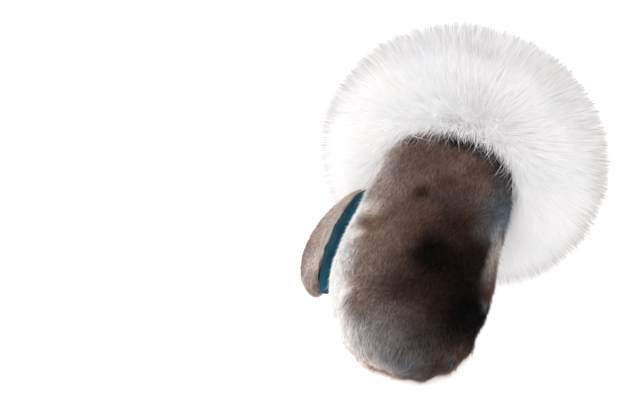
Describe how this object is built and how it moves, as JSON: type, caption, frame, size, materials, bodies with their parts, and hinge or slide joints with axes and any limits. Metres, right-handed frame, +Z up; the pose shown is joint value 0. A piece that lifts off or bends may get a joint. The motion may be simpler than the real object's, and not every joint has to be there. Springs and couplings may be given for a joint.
{
  "type": "fur mitten",
  "caption": "Left-hand fur mitten lying palm down, with short dark fur, a suede palm and inner thumb, and a deep ruff of long white fur round the open cuff.",
  "frame": {"origin": "on the table, under the middle of the box round the whole mitten", "axes": "+Z up from the table, -Y towards the finger end, -X towards the thumb"},
  "size_m": [0.2396, 0.332, 0.2019],
  "materials": {
    "short_fur": "dense short fur, brown with grey tips and darker patches",
    "suede": "matt teal suede with a fine nap",
    "hide": "undyed skin side of the fur",
    "long_fur": "long soft white fur with beige guard hair tips"
  },
  "bodies": {
    "root": {"hand_fur": "short_fur", "palm_suede": "suede", "thumb_fur": "short_fur", "thumb_suede": "suede", "cuff_band": "hide", "cuff_ruff": "long_fur"}
  },
  "joints": []
}
